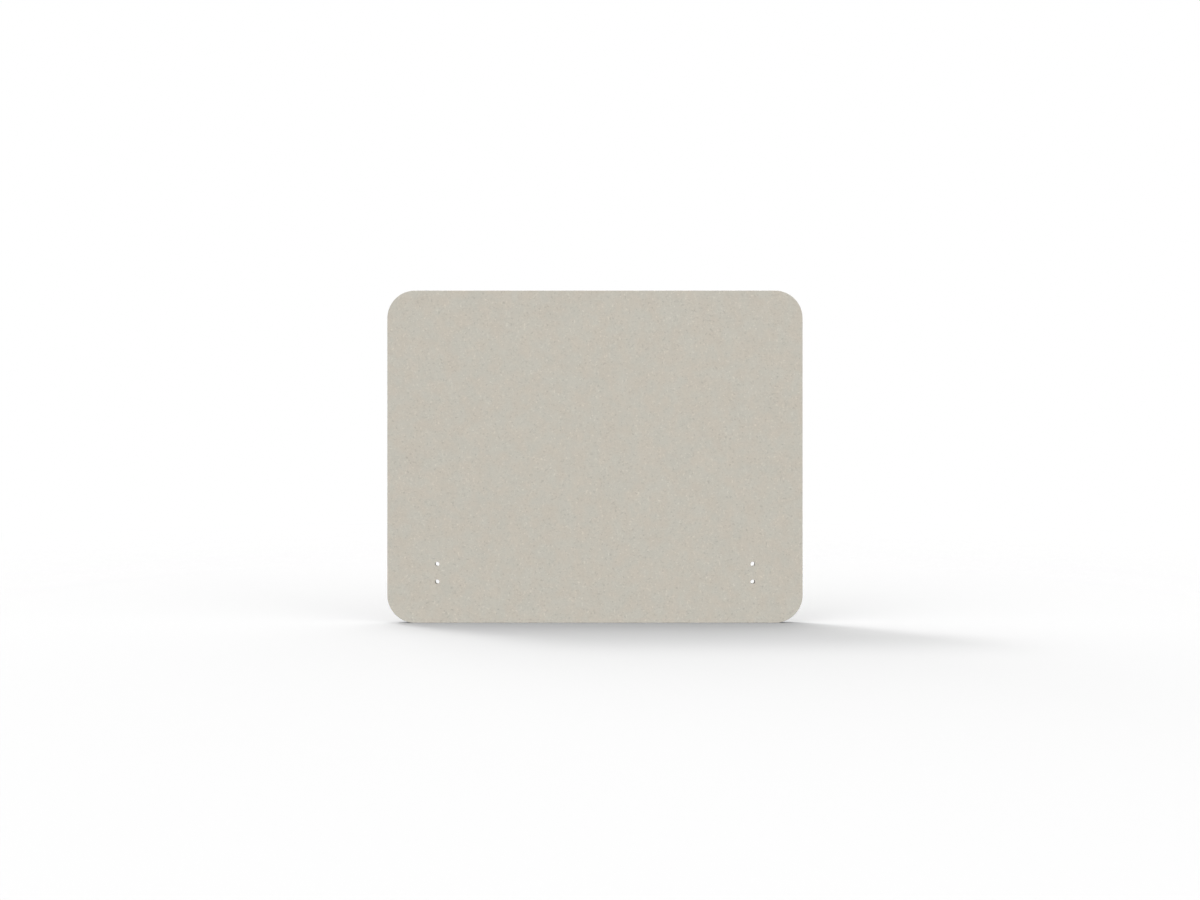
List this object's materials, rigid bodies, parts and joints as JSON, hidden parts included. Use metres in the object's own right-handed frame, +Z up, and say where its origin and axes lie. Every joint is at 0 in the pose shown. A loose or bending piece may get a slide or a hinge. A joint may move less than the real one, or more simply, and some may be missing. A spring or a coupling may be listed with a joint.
{
  "type": "acoustic divider screen",
  "caption": "Flat upright felt board with rounded corners and pairs of through holes near the bottom for desk brackets, made of felt faces bonded to a thicker felt core.",
  "frame": {"origin": "middle of the bottom edge, at half the thickness of the board", "axes": "+X along the width, +Z up, -Y out of the front face"},
  "size_m": [0.75, 0.012, 0.6],
  "materials": {
    "face_felt": "matte",
    "core_felt": "matte",
    "bond_web": "matte"
  },
  "bodies": {
    "root": {"front_face_felt": "face_felt", "front_bond_web": "bond_web", "core_board": "core_felt", "rear_bond_web": "bond_web", "rear_face_felt": "face_felt"}
  },
  "joints": []
}
